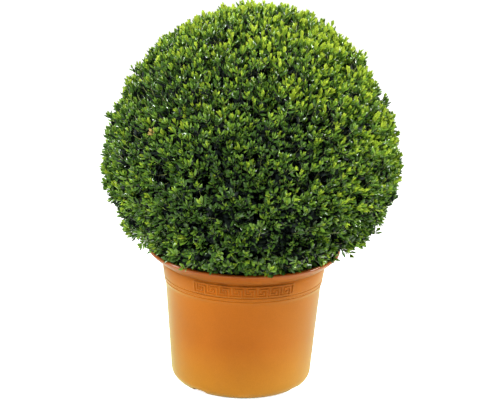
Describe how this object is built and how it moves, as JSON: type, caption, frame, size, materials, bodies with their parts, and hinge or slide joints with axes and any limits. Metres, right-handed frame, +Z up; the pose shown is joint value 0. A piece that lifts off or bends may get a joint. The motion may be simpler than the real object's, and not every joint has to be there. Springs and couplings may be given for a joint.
{
  "type": "box topiary ball",
  "caption": "Clipped box topiary ball, a dense mass of small leaves on a short stem, standing in a round tapered plastic pot with a flared lip and a key-pattern band.",
  "frame": {"origin": "centre of the pot's flat underside, on the ground", "axes": "+Z up along the pot's axis, -Y towards the front, +X to the right seen from the front"},
  "size_m": [0.5907, 0.5857, 0.7619],
  "materials": {
    "pot_plastic": "satin",
    "compost": "matte",
    "bark": "matte",
    "foliage": "satin"
  },
  "bodies": {
    "root": {"pot": "pot_plastic", "compost": "compost", "stem": "bark", "leaf_ball": "foliage"}
  },
  "joints": []
}
